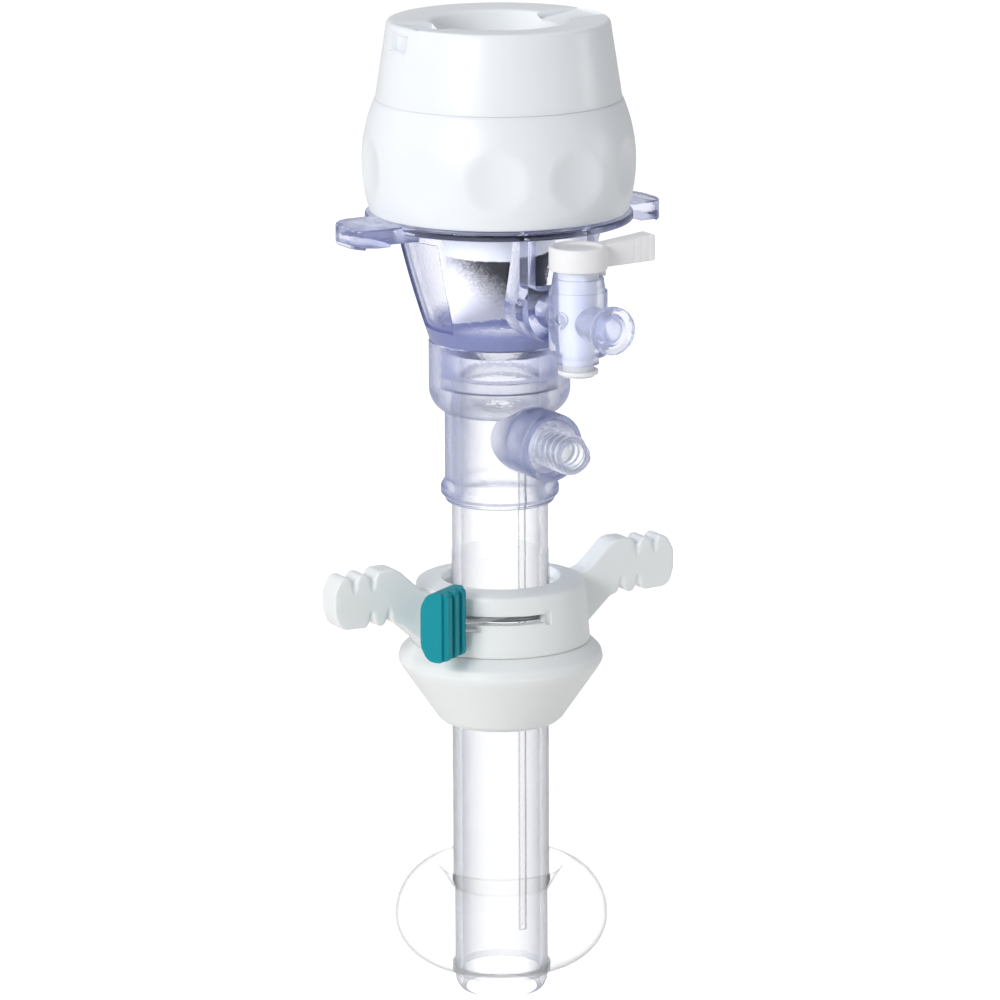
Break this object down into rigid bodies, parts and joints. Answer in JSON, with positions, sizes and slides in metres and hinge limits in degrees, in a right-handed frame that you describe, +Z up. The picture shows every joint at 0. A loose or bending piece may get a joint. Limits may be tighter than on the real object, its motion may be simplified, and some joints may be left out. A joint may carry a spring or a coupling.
{
  "type": "balloon trocar",
  "caption": "Clear trocar tube with a balloon at its blunt tip, a sliding winged anchor with a spring clamp, gas and inflation valves, and a twist-off seal cap.",
  "frame": {"origin": "on the tube's axis at the mouth of the blunt tip", "axes": "+Z up the tube to the seal cap, +X along the finger wings, -Y towards the gas and inflation ports"},
  "size_m": [0.0644, 0.0602, 0.1648],
  "materials": {
    "clear_tube": "clear moulded polycarbonate",
    "clear_housing": "clear moulded polycarbonate with a violet tint",
    "balloon_film": "thin clear film",
    "pale_rubber": "smooth silicone",
    "spring_steel": "drawn wire",
    "white_plastic": "cool white, satin moulded",
    "warm_white_plastic": "warm white, satin moulded",
    "milky_rubber": "milky soft seal",
    "milky_plastic": "milky moulded plastic",
    "teal_plastic": "teal, satin moulded"
  },
  "bodies": {
    "cannula": {"cannula_tube": "clear_tube", "balloon_sleeve": "balloon_film", "tip_band": "balloon_film", "inflation_hub": "clear_housing", "tube_gasket": "pale_rubber", "check_valve_body": "clear_housing", "poppet_spring": "spring_steel", "cannula_housing": "clear_housing", "duckbill_valve": "pale_rubber", "duckbill_retainer": "white_plastic", "stopcock_body": "clear_housing"},
    "valve_poppet": {"check_valve_poppet": "pale_rubber"},
    "gas_lever": {"stopcock_lever": "warm_white_plastic", "plug_clip": "warm_white_plastic"},
    "seal_cap": {"cap_lower": "white_plastic", "cap_cover": "white_plastic", "cap_ring": "pale_rubber"},
    "floating_seal": {"seal_carrier": "pale_rubber", "instrument_seal": "pale_rubber", "seal_clamp": "white_plastic"},
    "anchor_cone": {"cone_seal": "milky_rubber"},
    "anchor": {"anchor_ring": "milky_plastic"},
    "clamp": {"clamp_spring": "spring_steel", "thumb_pad": "teal_plastic"}
  },
  "joints": [
    {"name": "stopcock_turn", "type": "hinge", "parent": "cannula", "child": "gas_lever", "pos_m": [0, -0.02615, 0.1194], "axis": [0, 0, 1], "range_deg": [-90, 0]},
    {"name": "poppet_push", "type": "slide", "parent": "cannula", "child": "valve_poppet", "axis": [0, 1, 0], "range_m": [0, 0.0009], "stiffness_N_per_m": 400, "springref_m": -0.002, "deforming": ["poppet_spring"]},
    {"name": "cap_twist", "type": "hinge", "parent": "cannula", "child": "seal_cap", "pos_m": [0, 0, 0.14], "axis": [0, 0, 1], "range_deg": [0, 35]},
    {"name": "seal_tilt", "type": "hinge", "parent": "seal_cap", "child": "floating_seal", "pos_m": [0, 0, 0.154], "axis": [1, 0, 0], "range_deg": [-10, 10], "stiffness_Nm_per_rad": 0.02},
    {"name": "anchor_slide", "type": "slide", "parent": "cannula", "child": "anchor_cone", "axis": [0, 0, 1], "range_m": [-0.022, 0.012]},
    {"name": "anchor_turn", "type": "hinge", "parent": "anchor_cone", "child": "anchor", "pos_m": [0, 0, 0.0604], "axis": [0, 0, 1], "continuous": true},
    {"name": "clamp_squeeze", "type": "hinge", "parent": "anchor", "child": "clamp", "pos_m": [0, 0, 0.0604], "axis": [0, 0, 1], "range_deg": [0, 26], "stiffness_Nm_per_rad": 0.05, "springref_deg": -17.19}
  ]
}
